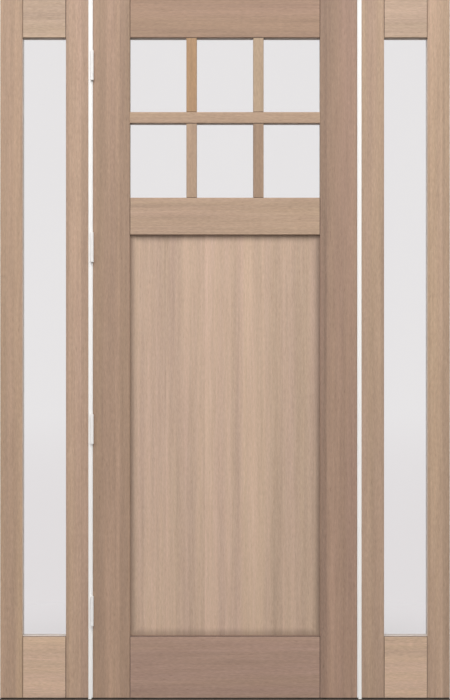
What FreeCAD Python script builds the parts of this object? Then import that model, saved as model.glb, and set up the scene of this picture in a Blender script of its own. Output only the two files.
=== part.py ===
import FreeCAD, Part
import os
import types
import Sketcher

# Entrance door with two fixed sidelights in one frame, in millimetres.
# X runs along the wall, Y from the side the door opens to towards the far side, Z up.
# The origin is the middle of the sill's underside.

SIZES = (
    ("door_width", "914.4"),
    ("sidelight_width", "304.8"),
    ("leaf_height", "2419"),
    ("leaf_thickness", "44.5"),
    ("door_stile", "128"),
    ("sidelight_stile", "77.5"),
    ("top_rail", "133.5"),
    ("middle_rail", "128"),
    ("bottom_rail", "213"),
    ("lite_height", "258"),
    ("glazing_bar", "36"),
    ("cross_bar", "38.5"),
    ("glass_rebate", "10"),
    ("front_lip", "14"),
    ("glass_sheet", "3"),
    ("glass_cavity", "10"),
    ("glass_clearance", "2"),
    ("spacer_width", "7.5"),
    ("panel_thickness", "12.7"),
    ("panel_tongue", "12"),
    ("tongue_clearance", "2"),
    ("eased_edge", "1.5"),
    ("lock_bevel", "2.4"),
    ("door_gap", "5"),
    ("mullion_nose", "11"),
    ("jamb_nose", "19"),
    ("stop_step", "12.7"),
    ("stop_clearance", "5"),
    ("frame_depth", "116"),
    ("sill_height", "30"),
    ("sill_nosing", "15"),
    ("hinge_count", "4"),
    ("hinge_height", "102"),
    ("hinge_from_top", "180"),
    ("hinge_from_bottom", "250"),
    ("hinge_cover", "38"),
    ("hinge_plate", "2.5"),
    ("hinge_corner", "6.4"),
    ("hinge_proud", "8"),
    ("barrel_radius", "5.5"),
    ("barrel_clearance", "0.3"),
    ("knuckle_gap", "0.4"),
    ("pin_radius", "3"),
    ("pin_clearance", "0.06"),
    ("pin_head", "3"),
)

doc = FreeCAD.newDocument("door_with_sidelights")
sheet = doc.addObject("Spreadsheet::Sheet", "sizes")
for row, (alias, number) in enumerate(SIZES, start=1):
    sheet.set(f"A{row}", alias)
    sheet.set(f"B{row}", number)
    sheet.setAlias(f"B{row}", alias)
doc.recompute()


class Size:
    """A length worked out from the sheet, as an expression and as its number now."""

    def __init__(self, text, number):
        self.text = text
        self.number = number

    def __add__(self, other):
        return Size(f"({self.text} + {text_of(other)})", self.number + number_of(other))

    def __sub__(self, other):
        return Size(f"({self.text} - {text_of(other)})", self.number - number_of(other))

    def __mul__(self, factor):
        return Size(f"({self.text} * {factor})", self.number * factor)

    def __truediv__(self, factor):
        return Size(f"({self.text} / {factor})", self.number / factor)

    def __neg__(self):
        return Size(f"(0 - {self.text})", -self.number)


def text_of(length):
    return length.text if isinstance(length, Size) else str(length)


def number_of(length):
    return length.number if isinstance(length, Size) else float(length)


dim = types.SimpleNamespace(
    **{alias: Size(f"sizes.{alias}", float(sheet.get(alias))) for alias, number in SIZES}
)


# Drawing helpers: outlines tied to the sheet, and the features made from them.

def datum(body, role):
    return next(item for item in body.Origin.OriginFeatures if item.Role == role)


def tie(sketch, geometry, point, kind, axis, distance):
    """Hold a point at a distance from the sketch's origin, or on the axis where that is 0."""
    if not isinstance(distance, Size):
        sketch.addConstraint(Sketcher.Constraint("PointOnObject", geometry, point, axis))
        return
    index = sketch.addConstraint(
        Sketcher.Constraint(kind, -1, 1, geometry, point, distance.number)
    )
    sketch.setExpression(f"Constraints[{index}]", distance.text)


def draw_outline(sketch, corners):
    """Draw a closed polygon whose corners are each placed by two distances."""
    first = sketch.GeometryCount
    count = len(corners)
    points = [FreeCAD.Vector(number_of(x), number_of(y), 0) for x, y in corners]
    for index in range(count):
        sketch.addGeometry(Part.LineSegment(points[index], points[(index + 1) % count]), False)
    for index in range(count):
        follower = first + (index + 1) % count
        sketch.addConstraint(Sketcher.Constraint("Coincident", first + index, 2, follower, 1))
    for index, (x, y) in enumerate(corners):
        tie(sketch, first + index, 1, "DistanceX", -2, x)
        tie(sketch, first + index, 1, "DistanceY", -1, y)


def draw_circle(sketch, x, y, radius):
    """Draw a circle with its centre and radius tied to the sheet."""
    centre = FreeCAD.Vector(number_of(x), number_of(y), 0)
    circle = sketch.addGeometry(Part.Circle(centre, FreeCAD.Vector(0, 0, 1), radius.number), False)
    tie(sketch, circle, 3, "DistanceX", -2, x)
    tie(sketch, circle, 3, "DistanceY", -1, y)
    index = sketch.addConstraint(Sketcher.Constraint("Radius", circle, radius.number))
    sketch.setExpression(f"Constraints[{index}]", radius.text)


def rectangle(left, right, low, high):
    return [(left, low), (right, low), (right, high), (left, high)]


def new_body(label, x, y, z):
    body = doc.addObject("PartDesign::Body", label)
    for axis, distance in zip("xyz", (x, y, z)):
        body.setExpression(f"Placement.Base.{axis}", text_of(distance))
    return body


def new_sketch(body, plane, outlines=(), circles=(), offset=None):
    sketch = body.newObject("Sketcher::SketchObject", f"{body.Name}_sketch")
    sketch.AttachmentSupport = (datum(body, plane), [""])
    sketch.MapMode = "FlatFace"
    if offset is not None:
        sketch.setExpression("AttachmentOffset.Base.z", offset.text)
    for corners in outlines:
        draw_outline(sketch, corners)
    for circle in circles:
        draw_circle(sketch, *circle)
    return sketch


def pad(body, sketch, plane, length):
    """Raise a sketch along +X, +Y or +Z, whichever its plane faces."""
    feature = body.newObject("PartDesign::Pad", f"{body.Name}_pad")
    feature.Profile = sketch
    feature.setExpression("Length", length.text)
    feature.Reversed = plane == "XZ_Plane"
    body.Tip = feature
    return feature


def pocket(body, sketch, plane, length=None, widening=0):
    """Cut a sketch along +X, +Y or +Z, through everything where no length is given."""
    feature = body.newObject("PartDesign::Pocket", f"{body.Name}_pocket")
    feature.Profile = sketch
    if length is None:
        feature.Type = "ThroughAll"
    else:
        feature.setExpression("Length", length.text)
    feature.TaperAngle = widening
    feature.Reversed = plane != "XZ_Plane"
    body.Tip = feature
    return feature


def repeat(body, role, count, step):
    """Repeat all of a body, as built so far, along one of its axes."""
    doc.recompute()
    feature = body.newObject("PartDesign::LinearPattern", f"{body.Name}_row")
    feature.TransformMode = "Whole shape"
    feature.Direction = (datum(body, role), [""])
    feature.Mode = "Spacing"
    feature.setExpression("Occurrences", text_of(count))
    feature.setExpression("Offset", step.text)
    body.Tip = feature
    return feature


def mirrored(source, label, plane_x=0):
    """The other hand of a piece, across an upright plane."""
    feature = doc.addObject("Part::Mirroring", label)
    feature.Source = source
    feature.Normal = FreeCAD.Vector(1, 0, 0)
    feature.setExpression("Base.x", text_of(plane_x))
    return feature


def housed(piece, insert, label):
    """A piece with the housing that an insert is let into."""
    feature = doc.addObject("Part::Cut", label)
    feature.Base = piece
    feature.Tool = insert
    return feature


# Positions that several pieces share.

thick = dim.leaf_thickness
ease = dim.eased_edge
front = -dim.frame_depth / 2
leaf_foot = dim.sill_height + dim.door_gap
post_height = dim.leaf_height + dim.door_gap * 2
door_left = -dim.door_width / 2
nose_right = door_left - dim.door_gap
sidelight_right = nose_right - dim.mullion_nose
sidelight_left = sidelight_right - dim.sidelight_width
frame_left = sidelight_left - dim.jamb_nose
glass_back = dim.front_lip + dim.glass_sheet * 2 + dim.glass_cavity
rail_top_z = leaf_foot + dim.leaf_height - dim.top_rail
nodes = []


# Frame: sill, posts rebated for the leaves, and a head across them.

sill = new_body("sill", frame_left, front - dim.sill_nosing, 0)
sill_depth = dim.frame_depth + dim.sill_nosing * 2
sill_section = [
    (0, 0),
    (sill_depth, 0),
    (sill_depth, dim.sill_height / 2),
    (sill_depth - dim.sill_nosing, dim.sill_height),
    (dim.sill_nosing, dim.sill_height),
    (0, dim.sill_height / 2),
]
pad(sill, new_sketch(sill, "YZ_Plane", [sill_section]), "YZ_Plane", -frame_left * 2)
nodes.append(sill)


def post(label, x, section):
    """An upright of the frame, stopped short at the back for the head's stop."""
    body = new_body(label, x, front, dim.sill_height)
    pad(body, new_sketch(body, "XY_Plane", [section]), "XY_Plane", post_height)
    notch = rectangle(thick, dim.frame_depth, post_height - dim.stop_step, post_height)
    pocket(body, new_sketch(body, "YZ_Plane", [notch]), "YZ_Plane")
    return body


jamb_section = [
    (0, 0),
    (dim.jamb_nose - ease, 0),
    (dim.jamb_nose, ease),
    (dim.jamb_nose, thick),
    (dim.jamb_nose + dim.stop_step, thick),
    (dim.jamb_nose + dim.stop_step, dim.frame_depth),
    (0, dim.frame_depth),
]
left_jamb = post("left_jamb", frame_left, jamb_section)
right_jamb = mirrored(left_jamb, "right_jamb")
nodes.extend((left_jamb, right_jamb))

nose_end = dim.stop_step + dim.mullion_nose
mullion_section = [
    (dim.stop_step + ease, 0),
    (nose_end - ease, 0),
    (nose_end, ease),
    (nose_end, thick + dim.stop_clearance),
    (nose_end + dim.stop_step, thick + dim.stop_clearance),
    (nose_end + dim.stop_step, dim.frame_depth),
    (0, dim.frame_depth),
    (0, thick),
    (dim.stop_step, thick),
    (dim.stop_step, ease),
]
plain_mullion = post("plain_mullion", sidelight_right - dim.stop_step, mullion_section)

head_jamb = new_body("head_jamb", frame_left, front, dim.sill_height + post_height - dim.stop_step)
head_top = dim.stop_step + dim.jamb_nose
head_section = [
    (ease, dim.stop_step),
    (thick, dim.stop_step),
    (thick, 0),
    (dim.frame_depth, 0),
    (dim.frame_depth, head_top),
    (0, head_top),
    (0, dim.stop_step + ease),
]
pad(head_jamb, new_sketch(head_jamb, "YZ_Plane", [head_section]), "YZ_Plane", -frame_left * 2)
door_relief = rectangle(thick, thick + dim.stop_clearance, 0, dim.stop_step)
relief_sketch = new_sketch(head_jamb, "YZ_Plane", [door_relief], offset=nose_right - frame_left)
pocket(head_jamb, relief_sketch, "YZ_Plane", -nose_right * 2)
nodes.append(head_jamb)


# Butt hinges: two leaves let in flush, five knuckles and a loose pin.

axis_x = door_left - dim.door_gap / 2
axis_y = front - dim.hinge_proud
hinge_foot = leaf_foot + dim.hinge_from_bottom
hinge_span = dim.leaf_height - dim.hinge_from_top - dim.hinge_from_bottom - dim.hinge_height
hinge_step = Size(
    f"({hinge_span.text} / (sizes.hinge_count - 1))",
    hinge_span.number / (dim.hinge_count.number - 1),
)
KNUCKLES = 5
knuckle = (dim.hinge_height - dim.knuckle_gap * (KNUCKLES - 1)) / KNUCKLES
knuckle_step = knuckle + dim.knuckle_gap


def hinge_leaves(label, own_knuckles):
    """Hinge leaves on the frame's side: a round-cornered plate, its own knuckles and the pin's bore."""
    body = new_body(label, nose_right - dim.hinge_plate, axis_y, hinge_foot)
    axis = dim.hinge_plate + dim.door_gap / 2
    plate_start = dim.barrel_radius + dim.barrel_clearance
    corner = dim.hinge_corner
    corner_y = dim.hinge_proud + dim.hinge_cover - corner
    corner_z = dim.hinge_height - corner
    plate = rectangle(plate_start, corner_y, 0, dim.hinge_height)
    pad(body, new_sketch(body, "YZ_Plane", [plate]), "YZ_Plane", dim.hinge_plate)
    corners = [(corner_y, corner, corner), (corner_y, corner_z, corner)]
    pad(body, new_sketch(body, "YZ_Plane", circles=corners), "YZ_Plane", dim.hinge_plate)
    plate_end = rectangle(corner_y, corner_y + corner, corner, corner_z)
    pad(body, new_sketch(body, "YZ_Plane", [plate_end]), "YZ_Plane", dim.hinge_plate)
    for index in own_knuckles:
        foot = knuckle_step * index
        tab = rectangle(0, dim.hinge_plate, 0, plate_start + dim.hinge_plate)
        pad(body, new_sketch(body, "XY_Plane", [tab], offset=foot), "XY_Plane", knuckle)
        barrel = (axis, 0, dim.barrel_radius)
        pad(body, new_sketch(body, "XY_Plane", circles=[barrel], offset=foot), "XY_Plane", knuckle)
    bore = (axis, 0, dim.pin_radius + dim.pin_clearance)
    pocket(body, new_sketch(body, "XY_Plane", circles=[bore]), "XY_Plane")
    repeat(body, "Z_Axis", dim.hinge_count, hinge_step)
    return body


hinge_frame_leaves = hinge_leaves("hinge_frame_leaves", range(0, KNUCKLES, 2))
plain_door_leaves = hinge_leaves("plain_door_leaves", range(1, KNUCKLES, 2))
hinge_door_leaves = mirrored(plain_door_leaves, "hinge_door_leaves", axis_x)

hinge_pins = new_body("hinge_pins", axis_x, axis_y, hinge_foot)
pin_section = [
    (0, 0),
    (dim.pin_radius, 0),
    (dim.pin_radius, dim.hinge_height),
    (dim.barrel_radius - ease, dim.hinge_height),
    (dim.barrel_radius - ease, dim.hinge_height + dim.pin_head / 2),
    (dim.pin_radius, dim.hinge_height + dim.pin_head),
    (0, dim.hinge_height + dim.pin_head),
]
pin_turn = hinge_pins.newObject("PartDesign::Revolution", "hinge_pins_turned")
pin_turn.Profile = new_sketch(hinge_pins, "XZ_Plane", [pin_section])
pin_turn.ReferenceAxis = (pin_turn.Profile[0], ["V_Axis"])
pin_turn.Angle = 360
hinge_pins.Tip = pin_turn
repeat(hinge_pins, "Z_Axis", dim.hinge_count, hinge_step)

left_mullion = housed(plain_mullion, hinge_frame_leaves, "left_mullion")
right_mullion = mirrored(plain_mullion, "right_mullion")
nodes.extend((left_mullion, right_mullion, hinge_frame_leaves, hinge_door_leaves, hinge_pins))


# Joinery that the door and the sidelights share.

def stile(label, x, width, hollows, set_back=None):
    """An upright board, hollowed along its right edge; set_back bevels the other edge."""
    body = new_body(label, x, front, leaf_foot)
    far_corner = ease if set_back is None else ease + set_back
    far_edge = 0 if set_back is None else set_back
    section = [
        (ease, 0),
        (width - ease, 0),
        (width, ease),
        (width, thick - ease),
        (width - ease, thick),
        (far_corner, thick),
        (far_edge, thick - ease),
        (0, ease),
    ]
    pad(body, new_sketch(body, "XY_Plane", [section]), "XY_Plane", dim.leaf_height)
    for depth, start, end, foot, length in hollows:
        hollow = rectangle(width - depth, width, start, end)
        pocket(body, new_sketch(body, "XY_Plane", [hollow], offset=foot), "XY_Plane", length)
    return body


def rail(label, x, z, length, section):
    """A board along X, with its ends eased where they meet the stiles."""
    body = new_body(label, x, front, z)
    pad(body, new_sketch(body, "YZ_Plane", [section]), "YZ_Plane", length)
    ends = [
        [(0, 0), (ease, 0), (0, ease)],
        [(length, 0), (length, ease), (length - ease, 0)],
        [(0, thick), (0, thick - ease), (ease, thick)],
        [(length, thick), (length - ease, thick), (length, thick - ease)],
    ]
    pocket(body, new_sketch(body, "XY_Plane", ends), "XY_Plane")
    return body


def glass_under(height):
    """Section of a rail with glass below it: a rebate at the back of its lower edge."""
    return [
        (ease, 0),
        (dim.front_lip, 0),
        (dim.front_lip, dim.glass_rebate),
        (thick, dim.glass_rebate),
        (thick, height),
        (0, height),
        (0, ease),
    ]


def glass_over(height, lower_edge):
    """Section of a rail with glass above it; lower_edge runs from its front to its back."""
    return lower_edge + [
        (thick, height - dim.glass_rebate),
        (dim.front_lip, height - dim.glass_rebate),
        (dim.front_lip, height),
        (ease, height),
        (0, height - ease),
    ]


pane_inset = dim.glass_rebate - dim.glass_clearance


def pane(label, x, z, width, height):
    """Double glazing in its rebate: two sheets with a space between them."""
    body = new_body(label, x - pane_inset, front + dim.front_lip, z - pane_inset)
    outline = rectangle(0, width + pane_inset * 2, 0, height + pane_inset * 2)
    pad(body, new_sketch(body, "XZ_Plane", [outline]), "XZ_Plane", dim.glass_sheet)
    repeat(body, "Y_Axis", 2, dim.glass_sheet + dim.glass_cavity)
    return body


def spacer(label, x, z, width, height):
    """The bar round the edge of a sealed pane that holds its two sheets apart."""
    body = new_body(label, x - pane_inset, front + dim.front_lip + dim.glass_sheet, z - pane_inset)
    right = width + pane_inset * 2
    top = height + pane_inset * 2
    bar = dim.spacer_width
    outlines = [rectangle(0, right, 0, top), rectangle(bar, right - bar, bar, top - bar)]
    pad(body, new_sketch(body, "XZ_Plane", outlines), "XZ_Plane", dim.glass_cavity)
    return body


EASED_ANGLE = 45


def beads(label, x, z, width, height):
    """Square beads around one light, from the glass to the back of the leaf, with that edge eased."""
    rebate = dim.glass_rebate
    depth = thick - glass_back
    body = new_body(label, x - rebate, front + glass_back, z - rebate)
    outline = rectangle(0, width + rebate * 2, 0, height + rebate * 2)
    pad(body, new_sketch(body, "XZ_Plane", [outline]), "XZ_Plane", depth)
    light = rectangle(rebate, rebate + width, rebate, rebate + height)
    pocket(body, new_sketch(body, "XZ_Plane", [light]), "XZ_Plane")
    back_edge = new_sketch(body, "XZ_Plane", [light], offset=ease - depth)
    pocket(body, back_edge, "XZ_Plane", ease, EASED_ANGLE)
    return body


# Sidelights: one tall light each between two stiles and two rails.

light_width = dim.sidelight_width - dim.sidelight_stile * 2
light_height = dim.leaf_height - dim.top_rail - dim.bottom_rail
light_left = sidelight_left + dim.sidelight_stile
light_foot = leaf_foot + dim.bottom_rail
light_rebate = (
    dim.glass_rebate,
    dim.front_lip,
    thick,
    dim.bottom_rail - dim.glass_rebate,
    light_height + dim.glass_rebate * 2,
)
sidelight_middle = sidelight_left + dim.sidelight_width / 2
outer_stile = stile("left_sidelight_outer_stile", sidelight_left, dim.sidelight_stile, [light_rebate])
left_sidelight = (
    outer_stile,
    mirrored(outer_stile, "left_sidelight_inner_stile", sidelight_middle),
    rail("left_sidelight_top_rail", light_left, rail_top_z, light_width, glass_under(dim.top_rail)),
    rail(
        "left_sidelight_bottom_rail",
        light_left,
        leaf_foot,
        light_width,
        glass_over(dim.bottom_rail, [(0, 0), (thick, 0)]),
    ),
    pane("left_sidelight_glass", light_left, light_foot, light_width, light_height),
    spacer("left_sidelight_spacer", light_left, light_foot, light_width, light_height),
    beads("left_sidelight_beads", light_left, light_foot, light_width, light_height),
)
nodes.extend(left_sidelight)
nodes.extend(mirrored(piece, piece.Label.replace("left", "right")) for piece in left_sidelight)


# Door: six lights in two rows over one flat panel.

COLUMNS = ("left", "middle", "right")
field_width = dim.door_width - dim.door_stile * 2
field_left = door_left + dim.door_stile
lite_width = (field_width - dim.glazing_bar * (len(COLUMNS) - 1)) / len(COLUMNS)
middle_rail_z = rail_top_z - dim.lite_height * 2 - dim.cross_bar - dim.middle_rail
lower_lite_z = middle_rail_z + dim.middle_rail
bar_z = lower_lite_z + dim.lite_height
upper_lite_z = bar_z + dim.cross_bar
panel_foot = leaf_foot + dim.bottom_rail
panel_height = middle_rail_z - panel_foot
groove_front = (thick - dim.panel_thickness) / 2
groove_back = groove_front + dim.panel_thickness

lite_rebate = (
    dim.glass_rebate,
    dim.front_lip,
    thick,
    lower_lite_z - leaf_foot - dim.glass_rebate,
    dim.lite_height * 2 + dim.cross_bar + dim.glass_rebate * 2,
)
panel_groove = (
    dim.panel_tongue,
    groove_front,
    groove_back,
    dim.bottom_rail - dim.panel_tongue,
    panel_height + dim.panel_tongue * 2,
)
hollows = [lite_rebate, panel_groove]
plain_hinge_stile = stile("plain_hinge_stile", door_left, dim.door_stile, hollows)
nodes.append(housed(plain_hinge_stile, hinge_door_leaves, "door_hinge_stile"))
plain_lock_stile = stile("plain_lock_stile", door_left, dim.door_stile, hollows, dim.lock_bevel)
nodes.append(mirrored(plain_lock_stile, "door_lock_stile"))

groove_under = [
    (0, ease),
    (ease, 0),
    (groove_front, 0),
    (groove_front, dim.panel_tongue),
    (groove_back, dim.panel_tongue),
    (groove_back, 0),
    (thick - ease, 0),
    (thick, ease),
]
bottom_section = [
    (0, 0),
    (thick, 0),
    (thick, dim.bottom_rail - ease),
    (thick - ease, dim.bottom_rail),
    (groove_back, dim.bottom_rail),
    (groove_back, dim.bottom_rail - dim.panel_tongue),
    (groove_front, dim.bottom_rail - dim.panel_tongue),
    (groove_front, dim.bottom_rail),
    (ease, dim.bottom_rail),
    (0, dim.bottom_rail - ease),
]
middle_section = glass_over(dim.middle_rail, groove_under)
nodes.append(rail("door_top_rail", field_left, rail_top_z, field_width, glass_under(dim.top_rail)))
nodes.append(rail("door_middle_rail", field_left, middle_rail_z, field_width, middle_section))
nodes.append(rail("door_bottom_rail", field_left, leaf_foot, field_width, bottom_section))

panel_inset = dim.panel_tongue - dim.tongue_clearance
panel = new_body("door_panel", field_left - panel_inset, front + groove_front, panel_foot - panel_inset)
panel_outline = rectangle(0, field_width + panel_inset * 2, 0, panel_height + panel_inset * 2)
pad(panel, new_sketch(panel, "XZ_Plane", [panel_outline]), "XZ_Plane", dim.panel_thickness)
nodes.append(panel)


def bar_flange(width):
    """The front of a glazing bar as depth and place across it: a lip with both front corners eased."""
    return [
        (0, ease),
        (ease, 0),
        (dim.front_lip, 0),
        (dim.front_lip, width),
        (ease, width),
        (0, width - ease),
    ]


def bar_web(width):
    """The part of a glazing bar between the panes, from its lip to the back of the leaf."""
    return rectangle(dim.front_lip, thick, dim.glass_rebate, width - dim.glass_rebate)


def turned(outline):
    """The same section with its two distances swapped, for a bar that stands upright."""
    return [(second, first) for first, second in outline]


cross_bar = new_body("door_cross_bar", field_left - dim.glass_rebate, front, bar_z)
flange_sketch = new_sketch(cross_bar, "YZ_Plane", [bar_flange(dim.cross_bar)], offset=dim.glass_rebate)
pad(cross_bar, flange_sketch, "YZ_Plane", field_width)
web_length = field_width + dim.glass_rebate * 2
pad(cross_bar, new_sketch(cross_bar, "YZ_Plane", [bar_web(dim.cross_bar)]), "YZ_Plane", web_length)
nodes.append(cross_bar)


def upright_bar(label, x, z):
    """A short bar between two lights: an eased flange in front of a longer web."""
    body = new_body(label, x, front, z - dim.glass_rebate)
    flange = turned(bar_flange(dim.glazing_bar))
    flange_sketch = new_sketch(body, "XY_Plane", [flange], offset=dim.glass_rebate)
    pad(body, flange_sketch, "XY_Plane", dim.lite_height)
    web = turned(bar_web(dim.glazing_bar))
    web_height = dim.lite_height + dim.glass_rebate * 2
    pad(body, new_sketch(body, "XY_Plane", [web]), "XY_Plane", web_height)
    foot = dim.glass_rebate
    top = dim.glass_rebate + dim.lite_height
    ends = [
        [(0, foot), (ease, foot), (0, foot + ease)],
        [(0, top), (0, top - ease), (ease, top)],
    ]
    pocket(body, new_sketch(body, "YZ_Plane", ends), "YZ_Plane")
    return body


ROWS = (("upper", upper_lite_z), ("lower", lower_lite_z))
lite_step = lite_width + dim.glazing_bar
for row_name, row_z in ROWS:
    for index, column in enumerate(("left", "right")):
        bar_x = field_left + lite_width + lite_step * index
        nodes.append(upright_bar(f"door_bar_{row_name}_{column}", bar_x, row_z))
    for index, column in enumerate(COLUMNS):
        lite_x = field_left + lite_step * index
        nodes.append(pane(f"door_pane_{row_name}_{column}", lite_x, row_z, lite_width, dim.lite_height))

for make, label in ((spacer, "door_spacers"), (beads, "door_beads")):
    body = make(label, field_left, lower_lite_z, lite_width, dim.lite_height)
    repeat(body, "X_Axis", len(COLUMNS), lite_step)
    repeat(body, "Z_Axis", len(ROWS), dim.lite_height + dim.cross_bar)
    nodes.append(body)


# Every object must be sound before any piece is written.

doc.recompute()
for item in doc.Objects:
    if "Invalid" in item.State or "Error" in item.State:
        raise RuntimeError(f"{item.Label} did not compute: {item.State}")
for node in nodes:
    if node.Shape.isNull() or not node.Shape.isValid():
        raise RuntimeError(f"{node.Label} has no sound shape")

os.makedirs("parts", exist_ok=True)
for node in nodes:
    node.Shape.exportStep(f"parts/{node.Label}.step")
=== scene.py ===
import math

import bpy
import numpy as np
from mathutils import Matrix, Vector


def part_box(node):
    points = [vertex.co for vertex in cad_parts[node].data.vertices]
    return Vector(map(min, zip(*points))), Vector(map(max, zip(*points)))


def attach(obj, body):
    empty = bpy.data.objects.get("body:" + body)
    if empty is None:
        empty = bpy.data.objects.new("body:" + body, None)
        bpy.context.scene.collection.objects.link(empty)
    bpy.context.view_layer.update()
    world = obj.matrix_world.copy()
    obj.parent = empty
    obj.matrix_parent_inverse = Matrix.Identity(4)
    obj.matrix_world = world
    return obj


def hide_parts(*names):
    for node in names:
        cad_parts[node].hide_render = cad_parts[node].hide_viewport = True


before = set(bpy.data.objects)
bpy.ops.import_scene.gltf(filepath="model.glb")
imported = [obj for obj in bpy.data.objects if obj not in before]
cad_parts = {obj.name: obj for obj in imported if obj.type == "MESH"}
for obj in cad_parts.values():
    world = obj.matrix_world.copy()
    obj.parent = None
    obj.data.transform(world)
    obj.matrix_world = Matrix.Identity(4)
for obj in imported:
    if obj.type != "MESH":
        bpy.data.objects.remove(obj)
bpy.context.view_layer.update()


# Sill: a low saddle of dark-stained hardwood that carries the posts, with a bevelled nosing on both sides.
# It is planed to a section, cut to the full width of the unit and bedded on the floor of the opening.
# The stain gathers in the open pores, so short dark dashes run with the grain under a dull oil. Its dark tone
# is also a painted shadow: the colour of the contact shadow in the gap under the leaves.

class Wire:
    """One output of a shader node: sums on it add Math nodes, and node() adds any other kind."""

    def __init__(self, tree, socket=None):
        self.tree = tree
        self.socket = socket

    def node(self, kind, settings=None, inputs=None, output=0):
        """Adds a node: first its settings, then the value or link of each socket, by name or number."""
        made = self.tree.nodes.new("ShaderNode" + kind)
        for name, value in (settings or {}).items():
            setattr(made, name, value)
        for name, value in (inputs or {}).items():
            if isinstance(value, Wire):
                self.tree.links.new(value.socket, made.inputs[name])
            else:
                made.inputs[name].default_value = value
        return Wire(self.tree, made.outputs[output] if made.outputs else None)

    def math(self, operation, *others):
        return self.node("Math", {"operation": operation}, dict(enumerate((self, *others))))

    def step(self, low, high):
        """0 below low, 1 above high and a smooth rise between them."""
        limits = {"Value": self, "From Min": low, "From Max": high}
        return self.node("MapRange", {"interpolation_type": "SMOOTHSTEP"}, limits)

    def swing(self, amount):
        """Noise about its middle value, by half the amount up and down."""
        return (self - 0.5) * amount

    def __add__(self, other):
        return self.math("ADD", other)

    def __sub__(self, other):
        return self.math("SUBTRACT", other)

    def __rsub__(self, other):
        return self.node("Math", {"operation": "SUBTRACT"}, {0: other, 1: self})

    def __mul__(self, other):
        return self.math("MULTIPLY", other)

    def __abs__(self):
        return self.math("ABSOLUTE")

    __radd__ = __add__
    __rmul__ = __mul__


def new_material(name):
    """An empty node material, and a wire to build its nodes from."""
    material = bpy.data.materials.new(name)
    material.use_nodes = True
    material.node_tree.nodes.clear()
    return material, Wire(material.node_tree)


def show(start, shader):
    start.node("OutputMaterial", inputs={"Surface": shader})


def raised(start, strength, depth, height):
    """The normal of a surface raised by height times depth, in metres, and evened out by a low strength."""
    return start.node("Bump", inputs={"Strength": strength, "Distance": depth, "Height": height})


def surface(start, colour, roughness, normal, others=None):
    """Ends a material in one Principled surface; others holds any further inputs by name."""
    inputs = {"Base Color": colour, "Roughness": roughness, "Normal": normal, **(others or {})}
    show(start, start.node("BsdfPrincipled", inputs=inputs))


def linear(red, green, blue):
    """A colour written in 0 to 255 screen values, as the linear colour that shaders take."""
    screen = np.array([red, green, blue]) / 255
    light = np.where(screen <= 0.04045, screen / 12.92, ((screen + 0.055) / 1.055) ** 2.4)
    return (*light.tolist(), 1.0)


def grain_space(start, along):
    """Coordinates across the grain, into the depth and along the grain.

    The grain runs along x or z of the object, or along the third value of the mesh's own attribute."""
    if along == "attribute":
        place = start.node("Attribute", {"attribute_name": "grain"}, output="Vector")
    else:
        place = start.node("TexCoord", output="Object")
    first, second, third = (start.node("SeparateXYZ", inputs={0: place}, output=axis) for axis in range(3))
    return (third, second, first) if along == "x" else (first, second, third)


def streaks(start, space, across_per_m, along_per_m, seed, detail=2.0):
    """Noise drawn out along the grain: so many waves a metre across it and along it."""
    across, depth, along = space
    point = start.node("CombineXYZ", inputs={
        "X": across * across_per_m + seed,
        "Y": depth * across_per_m,
        "Z": along * along_per_m + seed,
    })
    return start.node("TexNoise", inputs={"Vector": point, "Scale": 1.0, "Detail": detail})


def scaled(start, colour, factor):
    return start.node("VectorMath", {"operation": "SCALE"}, {0: colour, "Scale": factor})


# Partly a painted shadow: the stain takes the colour of the contact shadow in the gap under the leaves.
SILL_STAIN_AND_SHADOW = linear(88, 72, 61)


def stained(name, along, seed):
    """Stained hardwood: broad clouds and streaks with the grain, and short dark pores."""
    material, start = new_material(name)
    space = grain_space(start, along)
    cloud = streaks(start, space, 20.0, 1.5, seed)
    streak = streaks(start, space, 260.0, 6.0, seed + 2.1, 3.0)
    pore = streaks(start, space, 1200.0, 60.0, seed + 4.4).step(0.58, 0.68)
    shade = 1.0 + cloud.swing(0.5) + streak.swing(0.5) - pore * 0.35
    relief = raised(start, 0.3, 0.0003, streak - pore)
    surface(start, scaled(start, SILL_STAIN_AND_SHADOW[:3], shade), 0.55 + pore * 0.2, relief)
    return material


def finish_node(name, material):
    """Gives a CAD node its finish."""
    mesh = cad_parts[name].data
    mesh.materials.clear()
    mesh.materials.append(material)


finish_node("sill", stained("sill_hardwood", "x", 1.0))


# Posts and head: finger-jointed softwood, rebated in one piece for the leaves and primed white.
# The outer jambs and the two mullions stand on the sill; the head lies across their tops and is
# nailed down into them. The primer is rolled on, so it keeps a fine stipple and faint long strokes.

PRIMER = linear(244, 242, 239)


def primed(name, along, seed):
    """Rolled primer: a white that clouds a little, long faint strokes and a fine stipple."""
    material, start = new_material(name)
    space = grain_space(start, along)
    cloud = streaks(start, space, 7.0, 2.0, seed)
    stroke = streaks(start, space, 320.0, 9.0, seed + 3.1)
    stipple = streaks(start, space, 900.0, 900.0, seed + 5.7)
    shade = 1.0 + cloud.swing(0.05) + stroke.swing(0.03)
    height = stroke * 0.6 + stipple * 0.4
    relief = raised(start, 0.2, 0.0004, height)
    surface(start, scaled(start, PRIMER[:3], shade), 0.5 + cloud.swing(0.2), relief)
    return material


for seed, name in enumerate(("left_jamb", "left_mullion", "right_mullion", "right_jamb")):
    finish_node(name, primed(f"{name}_primer", "z", 2.0 + seed))
finish_node("head_jamb", primed("head_primer", "x", 7.0))


# Sidelight boards: stiles and rails of edge-grained fir, sanded bare, with the grain along each board.
# The rails are tenoned between the stiles, with eased edges; a painted shade darkens the eased corners at
# each joint into a fine dark line.
# Two of the stiles have strips glued along their edges, and the edges that hold the pane are varnished and
# painted pale, a painted highlight for the light that glances into the rebate.

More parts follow.
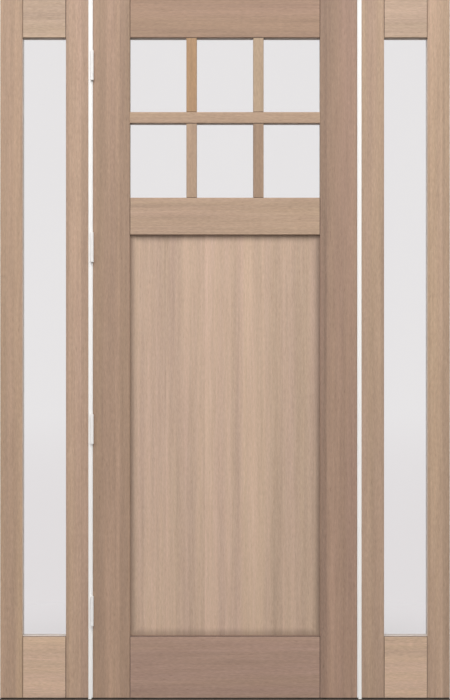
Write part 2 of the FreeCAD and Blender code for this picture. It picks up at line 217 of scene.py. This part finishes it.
RINGS_PER_M = 380.0
STAVES_PER_M = 7.4
STAVE_START = 1.52
# Painted shade: the panel's edges are darkened over this reach, by this share, for the shadow in its recess.
MARGIN_REACH = 0.032
RECESS_PAINTED_SHADE = 0.34
# Painted highlight: a pale colour blended onto the faces that hold a pane, for the light glancing into the
# rebate.
PAINTED_HIGHLIGHT = linear(238, 226, 214)
PAINTED_HIGHLIGHT_COVER = 0.6
# Painted shade: how much the eased corners at a joint are darkened, for the shade in the groove between
# parts.
JOINT_PAINTED_SHADE = 0.92
# Painted shade: the share by which a ledge at the foot of a recess is darkened.
LEDGE_PAINTED_SHADE = 0.25
LEAF_MIDDLE = 1.24
EDGES = {
    "left": (-1.0, 0.0, 0.0),
    "right": (1.0, 0.0, 0.0),
    "foot": (0.0, 0.0, -1.0),
    "top": (0.0, 0.0, 1.0),
}


def blend(start, factor, first, second):
    """A colour that goes from first to second as the factor goes from 0 to 1."""
    return start.node("Mix", {"data_type": "RGBA"}, {0: factor, 6: first, 7: second}, output=2)


def towards(start, edge):
    """How far the surface faces one edge of the leaf: 1 for square to it."""
    facing = start.node("TexCoord", output="Normal")
    return start.node("VectorMath", {"operation": "DOT_PRODUCT"}, {0: facing, 1: EDGES[edge]}, "Value")


def square_face(start, edge):
    """1 on the faces that are square to one edge of the leaf."""
    return towards(start, edge).step(0.9, 0.98)


def eased_corner(start, edge):
    """1 on the eased corners between one edge of the leaf and its front or back."""
    facing = start.node("TexCoord", output="Normal")
    depth_facing = start.node("SeparateXYZ", inputs={0: facing}, output="Y")
    return (towards(start, edge) * abs(depth_facing)).step(0.3, 0.45)


def fir(name, tone, along="z", seed=0.0, joints=(), varnished_and_highlit=(), dull=(), figure=1.0, staves=0.0, strips=(),
        fade=0.0, margin=None):
    """Edge-grained fir: rings, fibres and streaks along the grain, from straw to a pinker tone across it.

    joints names the edges whose eased corners are darkened and warmed, a painted shade for the groove at the
    joint. varnished_and_highlit names the edges whose square faces are varnished and blended to a pale
    painted highlight, for the light that glances into the rebate, and dull those whose square faces get a
    painted shade. figure is how strongly the fine grain shows, and staves is how far glued boards differ in
    tone. Each of strips gives the place across the board where a glued strip starts, its direction from
    there, how soft its edge is and how much darker it is. fade is how much paler a stile gets in each metre
    of height. margin gives the left, right, foot and top of a field whose edges get a painted shade for the
    shadow in the recess round it."""
    material, start = new_material(name)
    space = grain_space(start, along)
    across, depth, length = space
    drift = streaks(start, space, 3.0, 1.6, seed + 1.3).swing(0.012)
    radius = across + depth * 0.3 + drift
    uneven = start.node("TexNoise", {"noise_dimensions": "1D"}, {"W": radius * 45.0 + seed, "Scale": 1.0})
    ring = (radius * RINGS_PER_M + uneven * 3.0).math("FRACT")
    dash = streaks(start, space, 180.0, 14.0, seed + 5.2).step(0.35, 0.6)
    late = ring.step(0.35, 0.9) * (1.0 - ring.step(0.93, 1.0)) * (0.3 + dash * 0.7)
    fibre = streaks(start, space, 1100.0, 40.0, seed + 2.9, 3.0)
    mottle = streaks(start, space, 330.0, 60.0, seed + 9.9)
    band = streaks(start, space, 150.0, 5.0, seed + 8.3, 3.0)
    flow = streaks(start, space, 38.0, 0.7, seed + 3.3, 3.0)
    broad = streaks(start, space, 13.0, 0.35, seed + 4.1, 3.0)
    blush = streaks(start, space, 24.0, 0.7, seed + 7.7)
    fleck = streaks(start, space, 420.0, 36.0, seed + 6.3, 1.0).step(0.70, 0.78)
    fine = band.swing(0.3) + mottle.swing(0.5) + fibre.swing(0.25) - late * 0.14 - fleck * 0.2
    shade = 1.05 + broad.swing(0.55) + flow.swing(0.4) + fine * figure
    if staves:
        board = across * STAVES_PER_M + STAVE_START
        number = board.math("FLOOR") + seed
        pick = start.node("TexWhiteNoise", {"noise_dimensions": "1D"}, {"W": number}, "Value")
        shade = shade + (pick - board.math("FRACT")) * staves
        blush = blush + pick.swing(0.2)
    for place, direction, softness, darkness in strips:
        shade = shade * (1.0 - ((across - place) * direction).step(0.0, softness) * darkness)
    if fade:
        shade = shade * (1.0 + (length - LEAF_MIDDLE) * fade)
    # Painted shade: the eased corners at the joints are darkened here and warmed below, for the groove's
    # shade.
    eased = sum(eased_corner(start, edge) for edge in joints)
    shade = shade * (1.0 - eased * JOINT_PAINTED_SHADE)
    # Painted shade: ledges at the foot of a recess are darkened, where less light reaches.
    for edge in dull:
        shade = shade * (1.0 - square_face(start, edge) * LEDGE_PAINTED_SHADE)
    # Painted shade: the field darkens towards its edges, for the shadow of the recess round the panel.
    if margin:
        left, right, foot, top = margin
        inside = (across - left).math("MINIMUM", right - across)
        inside = inside.math("MINIMUM", length - foot).math("MINIMUM", top - length)
        shade = shade * (1.0 - (1.0 - inside.step(0.0, MARGIN_REACH)) * RECESS_PAINTED_SHADE)
    # The faces that hold the pane get a varnish coat, and their colour is blended towards a pale painted
    # highlight.
    varnish_and_painted_highlight = sum(square_face(start, edge) for edge in varnished_and_highlit)
    straw = (tone[0], tone[1], tone[2] * 0.95, 1.0)
    pink = (tone[0], tone[1] * 0.975, tone[2], 1.0)
    summer = (tone[0] * 0.95, tone[1] * 0.84, tone[2] * 0.74, 1.0)
    spring = blend(start, blush.step(0.25, 0.75), straw, pink)
    warmth = late * 0.6 + fleck * 0.4 + eased
    wood = blend(start, warmth, spring, summer)
    bare = scaled(start, wood, shade)
    colour = blend(start, varnish_and_painted_highlight * PAINTED_HIGHLIGHT_COVER, bare, PAINTED_HIGHLIGHT)
    height = late * 0.5 + fibre * 0.5
    relief = raised(start, 0.25, 0.0004, height)
    surface(start, colour, 0.66 - late * 0.12, relief, {"Coat Weight": varnish_and_painted_highlight, "Coat Roughness": 0.1})
    return material


RAIL_ENDS = ("left", "right")
SIDELIGHT_STILES = (
    ("left_sidelight_outer_stile", linear(174, 147, 124), 10.0, "right", -0.045),
    ("left_sidelight_inner_stile", linear(181, 153, 132), 11.0, "left", 0.0),
    ("right_sidelight_inner_stile", linear(172, 146, 125), 20.0, "right", 0.02),
    ("right_sidelight_outer_stile", linear(181, 154, 131), 21.0, "left", 0.055),
)
LEFT_STRIP = 0.012
RIGHT_STRIP = 0.026
# Each stile's edge at the pane is varnished and painted pale, a painted highlight.
for name, tone, seed, inner, fade in SIDELIGHT_STILES:
    low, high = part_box(name)
    glued = ((low.x + LEFT_STRIP, -1.0, 0.004, 0.08), (high.x - RIGHT_STRIP, 1.0, 0.002, 0.13))
    strips = glued if inner == "left" else ()
    finish_node(name, fir(f"{name}_fir", tone, "z", seed, varnished_and_highlit=(inner,), strips=strips, fade=fade))
SHOULDERS = (*RAIL_ENDS, "top")
# The rails' eased corners at their joints get a painted shade, and the bottom rails' tops a pale painted
# highlight.
for seed, side in enumerate(("left", "right")):
    name = f"{side}_sidelight_top_rail"
    finish_node(name, fir(f"{name}_fir", linear(180, 156, 136), "x", 12.0 + seed, RAIL_ENDS))
    name = f"{side}_sidelight_bottom_rail"
    finish_node(name, fir(f"{name}_fir", linear(200, 172, 149), "x", 14.0 + seed, SHOULDERS, varnished_and_highlit=("top",)))


# Sidelight panes: two clear sheets held apart by a tan foam bar, bedded on the front lip of each rebate.
# Float glass has a faint grey cast through both sheets and the slightest wave across its face.
# Four square beads, mitred at the corners and pinned with small brads from the back, hold each pane in.

GLASS_DEEP = (0.978, 0.967, 0.971, 1.0)
GLASS_PALE = (0.99, 0.979, 0.983, 1.0)
GLASS_SHADOW = (0.9, 0.9, 0.9, 1.0)


def sealed_glass(name, seed):
    """Clear float glass with a faint uneven cast; lamps shine through it on what stands behind."""
    material, start = new_material(name)
    space = grain_space(start, "z")
    cast = streaks(start, space, 2.5, 0.8, seed)
    tint = blend(start, cast, GLASS_DEEP, GLASS_PALE)
    wave = streaks(start, space, 6.0, 2.0, seed + 1.7)
    relief = raised(start, 0.02, 0.0005, wave)
    glass = start.node("BsdfPrincipled", inputs={
        "Base Color": tint,
        "Roughness": 0.0,
        "IOR": 1.5,
        "Transmission Weight": 1.0,
        "Normal": relief,
    })
    lamp_ray = start.node("LightPath", output="Is Shadow Ray")
    clear = start.node("BsdfTransparent", inputs={"Color": GLASS_SHADOW})
    show(start, start.node("MixShader", inputs={0: lamp_ray, 1: glass, 2: clear}))
    return material


FOAM = linear(205, 190, 176)


def foam_bar(name, seed):
    """Tan structural foam with a dull skin and fine pores."""
    material, start = new_material(name)
    space = grain_space(start, "z")
    pores = streaks(start, space, 1500.0, 1500.0, seed)
    cloud = streaks(start, space, 30.0, 30.0, seed + 2.3)
    relief = raised(start, 0.3, 0.0002, pores)
    shade = 0.95 + pores.swing(0.2) + cloud.swing(0.1)
    surface(start, scaled(start, FOAM[:3], shade), 0.8 + pores.swing(0.2), relief)
    return material


def place_object(name, data):
    made = bpy.data.objects.new(name, data)
    bpy.context.collection.objects.link(made)
    return made


BEAD_WIDTH = 0.010
BEAD_EASE = 0.0015
PANE_INSET = 0.008
MITRE_GAP = 0.00015
SURFACE_GAP = 0.00005
HEAD_SUNK = 0.0004
CORNERS = np.array([[-1, -1], [1, -1], [1, 1], [-1, 1]])


def bead_bars(low, high, back):
    """Points of the four bars round one light, side by end by section point by xyz.

    The section, a square with its back corner eased, is drawn along each side of the light. Its ends follow
    the diagonals, so a point further out lies further along: corner sign times (half size + out)."""
    front = high.y
    section = np.array([
        [0.0, front],
        [0.0, back - BEAD_EASE],
        [BEAD_EASE, back],
        [BEAD_WIDTH, back],
        [BEAD_WIDTH, front],
    ])
    middle = np.array([low.x + high.x, low.z + high.z]) / 2
    half = np.array([high.x - low.x, high.z - low.z]) / 2 - PANE_INSET
    ends = np.stack([CORNERS, np.roll(CORNERS, -1, axis=0)], axis=1)[:, :, None, :]
    plan = ends * (half + section[:, :1])
    plan -= MITRE_GAP * (ends - ends.mean(axis=1, keepdims=True))
    plan += middle
    depth = np.broadcast_to(section[:, 1], plan.shape[:3])
    return np.stack([plan[..., 0], depth, plan[..., 1]], axis=-1)


def bead_mesh(name, lights, back):
    """One mesh of all the beads of a leaf, with the grain of each bar along its own side."""
    points = np.concatenate([bead_bars(*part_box(pane), back) for pane in lights])
    bars, ends, corners = points.shape[:3]
    index = np.arange(bars * ends * corners).reshape(bars, ends, corners)
    around = np.roll(index, -1, axis=2)
    sides = np.stack([index[:, 0], index[:, 1], around[:, 1], around[:, 0]], axis=-1).reshape(-1, 4)
    caps = np.concatenate([index[:, 0], index[:, 1, ::-1]])
    mesh = bpy.data.meshes.new(name)
    mesh.from_pydata(points.reshape(-1, 3).tolist(), [], sides.tolist() + caps.tolist())
    lies_flat = (np.arange(bars) % 2 == 0)[:, None, None, None]
    grain = np.where(lies_flat, points[..., ::-1], points)
    attribute = mesh.attributes.new("grain", "FLOAT_VECTOR", "POINT")
    attribute.data.foreach_set("vector", grain.ravel())
    return mesh


ZINC = (0.66, 0.65, 0.62)


def zinc_steel(name, seed):
    """Zinc-plated steel, rubbed by the tool that drove it."""
    material, start = new_material(name)
    space = grain_space(start, "z")
    rub = streaks(start, space, 2600.0, 500.0, seed)
    relief = raised(start, 0.1, 0.0001, rub)
    colour = scaled(start, ZINC, 0.9 + rub.swing(0.4))
    surface(start, colour, 0.34 + rub.swing(0.3), relief, {"Metallic": 1.0})
    return material


BRAD_RADIUS = 0.0012
BRAD_DOME = 0.0002
BRAD_RINGS = np.array([0.4, 0.8, 1.0, 1.0])
BRAD_SIDES = 12
BRAD_STEP = 0.15
BRAD_END = 0.03


def brad_places(low, high, back):
    """Points along the middle of the four bars round one light, evenly spaced and about a hand apart."""
    middle = np.array([low.x + high.x, low.z + high.z]) / 2
    half = np.array([high.x - low.x, high.z - low.z]) / 2 - PANE_INSET
    places = []
    for axis in range(2):
        count = max(2, round(2 * half[axis] / BRAD_STEP))
        run = np.linspace(BRAD_END - half[axis], half[axis] - BRAD_END, count)
        for side in (-1, 1):
            bar = np.full(count, side * (half[1 - axis] + BEAD_WIDTH / 2))
            places.append(np.stack([run, bar] if axis == 0 else [bar, run], axis=-1) + middle)
    plan = np.concatenate(places)
    return np.stack([plan[:, 0], np.full(len(plan), back), plan[:, 1]], axis=-1)


def closed_heads(name, points):
    """A mesh of round heads from polar grids, head by radius by angle, each closed by a cap at both ends."""
    index = np.arange(points[..., 0].size).reshape(points.shape[:3])
    beside = np.roll(index, -1, axis=2)
    quads = np.stack([index[:, :-1], index[:, 1:], beside[:, 1:], beside[:, :-1]], axis=-1)
    faces = [*quads.reshape(-1, 4).tolist(), *index[:, 0].tolist(), *index[:, -1, ::-1].tolist()]
    mesh = bpy.data.meshes.new(name)
    mesh.from_pydata(points.reshape(-1, 3).tolist(), [], faces)
    return mesh


def brad_heads(name, centres):
    """Low round heads on the back of a leaf, one polar grid of radius by angle for each.

    The height is a shallow dome, one less the square of the radius over the head's radius, and the last
    ring goes straight down into the wood."""
    radius = BRAD_RINGS * BRAD_RADIUS
    angle = np.linspace(0.0, 2 * np.pi, BRAD_SIDES, endpoint=False)
    ring, turn = np.meshgrid(radius, angle, indexing="ij")
    height = BRAD_DOME * (1 - (ring / BRAD_RADIUS) ** 2) + SURFACE_GAP
    height[-1] -= HEAD_SUNK
    head = np.stack([ring * np.sin(turn), height, ring * np.cos(turn)], axis=-1)
    return closed_heads(name, head + centres[:, None, None, :])


def fit_beads(name, body, lights, back, tone, seed):
    """Puts beads round the lights of a leaf in place of the CAD node of that name, with their brads."""
    beads = place_object(f"{name}_mitred", bead_mesh(f"{name}_mitred", lights, back))
    # The beads' inner faces get the same pale painted highlight under their varnish.
    beads.data.materials.append(fir(f"{name}_fir", tone, "attribute", seed, varnished_and_highlit=("left", "right", "top")))
    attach(beads, body)
    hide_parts(name)
    places = np.concatenate([brad_places(*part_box(pane), back) for pane in lights])
    brads = place_object(f"{name}_brads", brad_heads(f"{name}_brads", places))
    brads.data.materials.append(zinc_steel(f"{name}_zinc", seed))
    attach(brads, body)


leaf_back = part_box("door_top_rail")[1].y
for seed, side in enumerate(("left", "right")):
    pane = f"{side}_sidelight_glass"
    finish_node(pane, sealed_glass(f"{side}_sidelight_pane", 1.0 + seed))
    finish_node(f"{side}_sidelight_spacer", foam_bar(f"{side}_sidelight_foam", 3.0 + seed))
    fit_beads(f"{side}_sidelight_beads", "frame", [pane], leaf_back, linear(186, 160, 139), 16.0 + seed)


# Butt hinges: pressed steel leaves let in flush, five knuckles to a hinge and a loose pin with a low head.
# They are factory primed in the frame's white. Four oval-headed screws hold each leaf, set in a zigzag,
# with their cross slots left as they stopped turning.

def primed_steel(name, seed):
    """Sprayed primer on steel: the frame's white, a little smoother, with a fine orange peel."""
    material, start = new_material(name)
    space = grain_space(start, "z")
    cloud = streaks(start, space, 60.0, 40.0, seed)
    stipple = streaks(start, space, 1400.0, 1400.0, seed + 2.2)
    relief = raised(start, 0.12, 0.0002, stipple)
    surface(start, scaled(start, PRIMER[:3], 0.98 + cloud.swing(0.06)), 0.42 + stipple.swing(0.15), relief)
    return material


for seed, name in enumerate(("hinge_frame_leaves", "hinge_door_leaves", "hinge_pins")):
    finish_node(name, primed_steel(f"{name}_primer", 1.0 + seed))

HINGES = 4
HINGE_HEIGHT = 0.102
SCREWS_A_LEAF = 4
SCREW_MARGIN = 0.014
SCREW_IN = np.array([0.026, 0.012, 0.026, 0.012])
SCREW_RADIUS = 0.0042
SCREW_DOME = 0.0009
SCREW_RINGS = np.append(np.linspace(0.04, 1.0, 14), 1.0)
SCREW_SIDES = 48
SLOT_HALF_WIDTH = 0.00055
SLOT_REACH = 0.0024
SLOT_FLOOR = 0.25
DOOR_GAP = 0.005


def screw_heads(name, centres, turns, outward):
    """Oval screw heads on a plane of constant x, one polar grid of radius by angle for each.

    The height is a low dome, one less the radius squared, cut down to a share of itself wherever the point
    lies within the slot's half width of one of the two crossing lines and inside the slot's reach. The last
    ring goes straight down into the plate."""
    radius = SCREW_RINGS * SCREW_RADIUS
    angle = outward * np.linspace(0.0, 2 * np.pi, SCREW_SIDES, endpoint=False)
    ring, turn = np.meshgrid(radius, angle, indexing="ij")
    along, aside = ring * np.cos(turn), ring * np.sin(turn)
    to_line = np.minimum(abs(along), abs(aside))
    in_slot = (to_line < SLOT_HALF_WIDTH) & (np.maximum(abs(along), abs(aside)) < SLOT_REACH)
    dome = SCREW_DOME * (1 - (ring / SCREW_RADIUS) ** 2)
    height = np.where(in_slot, dome * SLOT_FLOOR, dome) + SURFACE_GAP
    height[-1] -= HEAD_SUNK
    cosine, sine = np.cos(turns)[:, None, None], np.sin(turns)[:, None, None]
    points = np.stack([
        np.broadcast_to(outward * height, (len(turns), *height.shape)),
        along * cosine - aside * sine,
        along * sine + aside * cosine,
    ], axis=-1) + centres[:, None, None, :]
    return closed_heads(name, points)


hinge_low, hinge_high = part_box("hinge_door_leaves")
stile_low, stile_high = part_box("door_hinge_stile")
hinge_foot = np.linspace(hinge_low.z, hinge_high.z - HINGE_HEIGHT, HINGES)
screw_rise = np.linspace(SCREW_MARGIN, HINGE_HEIGHT - SCREW_MARGIN, SCREWS_A_LEAF)
screw_z = (hinge_foot[:, None] + screw_rise).ravel()
screw_y = stile_low.y + np.tile(SCREW_IN, HINGES)
LEAF_FACES = (("frame", stile_low.x - DOOR_GAP, 1.0), ("door", stile_low.x, -1.0))
for seed, (body, face_x, outward) in enumerate(LEAF_FACES):
    name = f"{body}_hinge_screws"
    centres = np.stack([np.full_like(screw_z, face_x), screw_y, screw_z], axis=-1)
    turns = np.random.default_rng(seed).uniform(0.0, np.pi, len(screw_z))
    screws = place_object(name, screw_heads(name, centres, turns, outward))
    screws.data.materials.append(zinc_steel(f"{name}_zinc", 1.0 + seed))
    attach(screws, body)


# Door boards: the same fir in wider stock, jointed like the sidelights, with strips glued to the stiles.
# The panel is glued up from staves that differ a little and lies loose in grooves, well back from the face.
# Its margins are darkened towards the stiles and rails: a painted shade for the shadow in the recess round
# it.

HINGE_STILE_STRIPS = ((-0.3645, 1.0, 0.001, 0.13), (-0.408, -1.0, 0.016, 0.13))
LOCK_STILE_STRIPS = ((0.353, -1.0, 0.001, 0.13), (0.44, 1.0, 0.001, -0.07))
panel_field = (
    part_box("door_hinge_stile")[1].x,
    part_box("door_lock_stile")[0].x,
    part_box("door_bottom_rail")[1].z,
    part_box("door_middle_rail")[0].z,
)
finish_node("door_hinge_stile", fir(
    "hinge_stile_fir", linear(172, 144, 122), "z", 31.0, strips=HINGE_STILE_STRIPS))
finish_node("door_lock_stile", fir(
    "lock_stile_fir", linear(160, 132, 114), "z", 32.0, strips=LOCK_STILE_STRIPS, fade=-0.06))
finish_node("door_top_rail", fir("top_rail_fir", linear(159, 131, 111), "x", 33.0, RAIL_ENDS))
finish_node("door_middle_rail", fir("middle_rail_fir", linear(174, 148, 127), "x", 34.0, RAIL_ENDS))
# The top of the bottom rail, the ledge under the panel, gets a painted shade.
finish_node("door_bottom_rail", fir(
    "bottom_rail_fir", linear(166, 138, 122), "x", 35.0, SHOULDERS, dull=("top",)))
finish_node("door_panel", fir(
    "panel_fir", linear(193, 167, 147), "z", 36.0, figure=0.75, staves=0.085, margin=panel_field))


# Glazing bars: slim fir bars rebated on both edges, a full-width cross bar and four short uprights.
# The uprights are cut from offcuts, so their tones differ: one is a plain orange heartwood.
# Six small sealed panes sit behind them in the same foam and beads as the sidelights.

BAR_ENDS = ("foot", "top")
UPRIGHTS = (
    ("upper_left", linear(169, 136, 102)),
    ("upper_right", linear(170, 148, 123)),
    ("lower_left", linear(174, 147, 125)),
    ("lower_right", linear(157, 132, 109)),
)
finish_node("door_cross_bar", fir("cross_bar_fir", linear(172, 146, 124), "x", 37.0))
for seed, (place, tone) in enumerate(UPRIGHTS):
    finish_node(f"door_bar_{place}", fir(f"{place}_bar_fir", tone, "z", 38.0 + seed, BAR_ENDS))
ROWS = ("upper", "lower")
COLUMNS = ("left", "middle", "right")
DOOR_PANES = [f"door_pane_{row}_{column}" for row in ROWS for column in COLUMNS]
for seed, name in enumerate(DOOR_PANES):
    finish_node(name, sealed_glass(f"{name}_glass", 5.0 + seed))
finish_node("door_spacers", foam_bar("door_foam", 7.0))
fit_beads("door_beads", "door", DOOR_PANES, leaf_back, linear(165, 138, 119), 44.0)


# Gaskets: a soft white bulb of silicone on each post, in the gap beside the shut leaf.
# The bulb is extruded, cut to the height of the leaf and stuck to the post just behind its eased corner.
# It stops short of the leaf's edge, so the door swings away from it without rubbing.

GASKET_REACH = 0.0045
GASKET_FRONT = 0.0008
GASKET_DEPTH = 0.0048
BULB_BLUNTNESS = 0.6
BULB_STEPS = 17
SILICONE = linear(248, 247, 245)


def gasket_bulb(name, foot, top, root_x, face_y, inward):
    """A blunt bulb drawn up the post: angle round the bulb by height.

    Across, it reaches inward by the sine of the angle to the power BULB_BLUNTNESS; in depth, it runs from
    front to back by the cosine. The angle runs the other way on the right, so that the faces look outward."""
    angle = np.linspace(0.0, np.pi, BULB_STEPS)[::inward]
    turn, height = np.meshgrid(angle, [foot, top], indexing="ij")
    across = root_x + inward * GASKET_REACH * np.sin(turn).clip(0.0) ** BULB_BLUNTNESS
    depth = face_y + GASKET_FRONT + GASKET_DEPTH * (1 - np.cos(turn)) / 2
    points = np.stack([across, depth, height], axis=-1)
    index = np.arange(turn.size).reshape(turn.shape)
    sides = np.stack([index[:-1, 0], index[1:, 0], index[1:, 1], index[:-1, 1]], axis=-1).tolist()
    ends = [index[:, 1].tolist(), index[::-1, 0].tolist()]
    back = index[[-1, 0, 0, -1], [0, 0, 1, 1]].tolist()
    mesh = bpy.data.meshes.new(name)
    mesh.from_pydata(points.reshape(-1, 3).tolist(), [], [*sides, *ends, back])
    return mesh


def silicone(name, seed):
    """White silicone: an even white with a soft sheen and a faint drag from the die."""
    material, start = new_material(name)
    space = grain_space(start, "z")
    drag = streaks(start, space, 1500.0, 8.0, seed)
    relief = raised(start, 0.1, 0.0001, drag)
    surface(start, scaled(start, SILICONE[:3], 0.99 + drag.swing(0.02)), 0.5 + drag.swing(0.1), relief)
    return material


lock_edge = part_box("door_lock_stile")[1].x
POSTS = (("left", stile_low.x - DOOR_GAP, 1), ("right", lock_edge + DOOR_GAP, -1))
for seed, (side, root_x, inward) in enumerate(POSTS):
    name = f"{side}_gasket"
    bulb = gasket_bulb(name, stile_low.z, stile_high.z, root_x, stile_low.y, inward)
    bulb.materials.append(silicone(f"{name}_silicone", 1.0 + seed))
    gasket = place_object(name, bulb)
    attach(gasket, "frame")


# Studio: a pale floor that fades into the backdrop, and the even light of a white room, strongest level with
# the door, so that a recess is shaded on every side. One soft lamp, high in front, lifts the ledges. Rays
# that look straight at the floor or the backdrop find a pale grey, so that the white frame stands out.

FLOOR_REACH = 30.0
FLOOR_LIT = (0.20, 0.193, 0.187, 1.0)
FLOOR_SEEN = (0.84, 0.83, 0.833, 1.0)
FADE_START = 0.3
FADE_END = 2.2
HAZE_NEAR = (0.94, 0.926, 0.929, 1.0)
HAZE_START = 2.0
HAZE_END = 24.0
WHITE = (1.0, 1.0, 1.0, 1.0)
BACKDROP = 0.82
ticks = np.linspace(-FLOOR_REACH, FLOOR_REACH, 3)
floor_x, floor_y = np.meshgrid(ticks, ticks)
floor_points = np.stack([floor_x, floor_y, np.zeros_like(floor_x)], axis=-1)
cells = np.arange(floor_x.size).reshape(floor_x.shape)
floor_quads = np.stack([cells[:-1, :-1], cells[:-1, 1:], cells[1:, 1:], cells[1:, :-1]], axis=-1)
floor_mesh = bpy.data.meshes.new("floor")
floor_mesh.from_pydata(floor_points.reshape(-1, 3).tolist(), [], floor_quads.reshape(-1, 4).tolist())
floor = place_object("floor", floor_mesh)


def looked_at(start):
    """1 for rays that come straight from the camera, from a gloss or through glass, and 0 for the rest."""
    seen = start.node("LightPath", output="Is Camera Ray")
    for ray in ("Is Glossy Ray", "Is Transmission Ray"):
        seen = seen.math("MAXIMUM", start.node("LightPath", output=ray))
    return seen


material, start = new_material("studio_floor")
place = start.node("TexCoord", output="Object")
distance = start.node("VectorMath", {"operation": "LENGTH"}, {0: place}, "Value")
seen = looked_at(start)
matte = start.node("BsdfDiffuse", inputs={"Color": blend(start, seen, FLOOR_LIT, FLOOR_SEEN)})
haze = blend(start, distance.step(HAZE_START, HAZE_END), HAZE_NEAR, WHITE)
glow = start.node("Emission", inputs={"Color": haze, "Strength": BACKDROP})
fading = distance.step(FADE_START, FADE_END) * seen
show(start, start.node("MixShader", inputs={0: fading, 1: matte, 2: glow}))
floor.data.materials.append(material)

ROOM_LEVEL = 1.50
CEILING_DROP = 1.38
world = bpy.data.worlds.new("studio")
bpy.context.scene.world = world
world.use_nodes = True
world.node_tree.nodes.clear()
sky = Wire(world.node_tree)
direction = sky.node("TexCoord", output="Generated")
upward = sky.node("SeparateXYZ", inputs={0: direction}, output="Z")
seen = looked_at(sky)
room = ROOM_LEVEL - upward.step(0.25, 0.9) * CEILING_DROP
strength = seen * BACKDROP + (1.0 - seen) * room
background = sky.node("Background", inputs={"Color": WHITE, "Strength": strength})
sky.node("OutputWorld", inputs={"Surface": background})

SOFTBOX_WIDTH = 6.0
SOFTBOX_DEPTH = 3.0
SOFTBOX_POWER = 192.0
SOFTBOX_PLACE = Vector((-0.6, -4.2, 5.2))
SOFTBOX_AIM = Vector((0.0, 0.0, 1.2))
lamp = bpy.data.lights.new("overhead_softbox", "AREA")
lamp.shape = "RECTANGLE"
lamp.size = SOFTBOX_WIDTH
lamp.size_y = SOFTBOX_DEPTH
lamp.energy = SOFTBOX_POWER
softbox = place_object("overhead_softbox", lamp)
softbox.location = SOFTBOX_PLACE
softbox.rotation_euler = (SOFTBOX_AIM - SOFTBOX_PLACE).to_track_quat("-Z", "Y").to_euler()

CAMERA_DISTANCE = 5.0
VIEW_HEIGHT = 2.4232
VIEW_MIDDLE = 1.2386
camera = bpy.data.cameras.new("camera")
camera.sensor_fit = "VERTICAL"
camera.sensor_height = 36.0
camera.lens = camera.sensor_height * CAMERA_DISTANCE / VIEW_HEIGHT
viewpoint = place_object("camera", camera)
leaf_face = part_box("door_top_rail")[0].y
viewpoint.location = (0.0, leaf_face - CAMERA_DISTANCE, VIEW_MIDDLE)
viewpoint.rotation_euler = (math.radians(90.0), 0.0, 0.0)
bpy.context.scene.camera = viewpoint
bpy.context.scene.view_settings.view_transform = "Standard"
